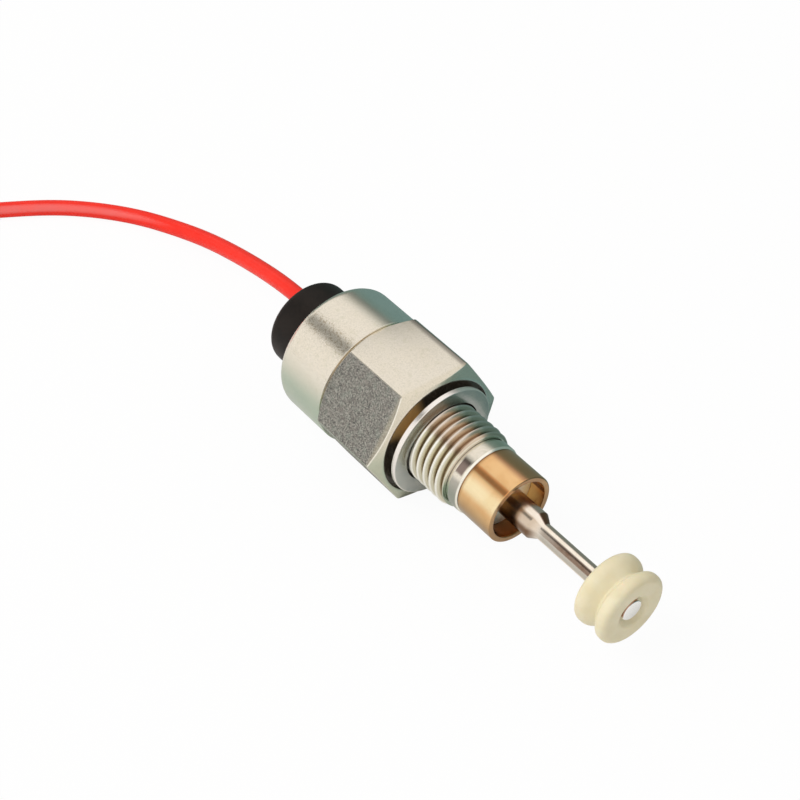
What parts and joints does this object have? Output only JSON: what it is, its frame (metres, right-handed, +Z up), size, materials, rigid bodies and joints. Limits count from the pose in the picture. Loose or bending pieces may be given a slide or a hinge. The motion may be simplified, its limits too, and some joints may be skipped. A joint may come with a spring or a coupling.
{
  "type": "fuel shutoff solenoid",
  "caption": "Fuel shutoff solenoid: steel shell with hexagon and threaded nose, brass guide sleeve, spring plunger with a cream valve seal, black end cap and a red lead.",
  "frame": {"origin": "on the axis, in the plane where the sealing washer meets the housing it is screwed into, which is where the thread starts", "axes": "+X along the axis towards the valve seal, +Z up as the part lies on its side, with two flats of the hexagon level"},
  "size_m": [0.1588, 0.0506, 0.0196],
  "materials": {
    "zinc_steel": "zinc plating, satin, rougher on the turned end faces",
    "cap": "smooth moulded black",
    "washer": "satin, bright rim",
    "brass": "turned, satin",
    "stop_ring": "dull grey",
    "stem_steel": "turned, bright",
    "nylon": "smooth cream",
    "spring_steel": "drawn wire",
    "core_steel": "turned, plain",
    "shim_brass": "rolled",
    "bobbin": "moulded",
    "copper": "enamelled copper colour",
    "tape": "thin amber film",
    "fibre": "vulcanised fibre",
    "o_ring": "smooth black",
    "tinned": "tin plated",
    "lead": "smooth red insulation",
    "terminal_sleeve": "soft red sleeve"
  },
  "bodies": {
    "case": {"body": "zinc_steel", "end_cap": "cap", "sealing_washer": "washer", "guide_sleeve": "brass", "stop_ring": "stop_ring", "return_spring": "spring_steel", "fixed_core": "core_steel", "pole_shim": "shim_brass", "bobbin": "bobbin", "coil_winding": "copper", "winding_tape": "tape", "front_washer": "fibre", "spring_washer": "spring_steel", "back_plate": "core_steel", "sleeve_o_ring": "o_ring", "coil_start_wire": "copper", "ground_wire": "copper", "splice_ferrule": "tinned", "lead_conductor": "copper", "lead_wire": "lead", "lead_coil": "lead", "terminal_sleeve": "terminal_sleeve", "bullet_terminal": "tinned"},
    "plunger": {"armature": "core_steel", "plunger_stem": "stem_steel", "valve_seal": "nylon"}
  },
  "joints": [
    {"name": "plunger_slide", "type": "slide", "parent": "case", "child": "plunger", "axis": [-1, 0, 0], "range_m": [0, 0.004], "stiffness_N_per_m": 500, "springref_m": -0.004, "deforming": ["return_spring"]}
  ]
}
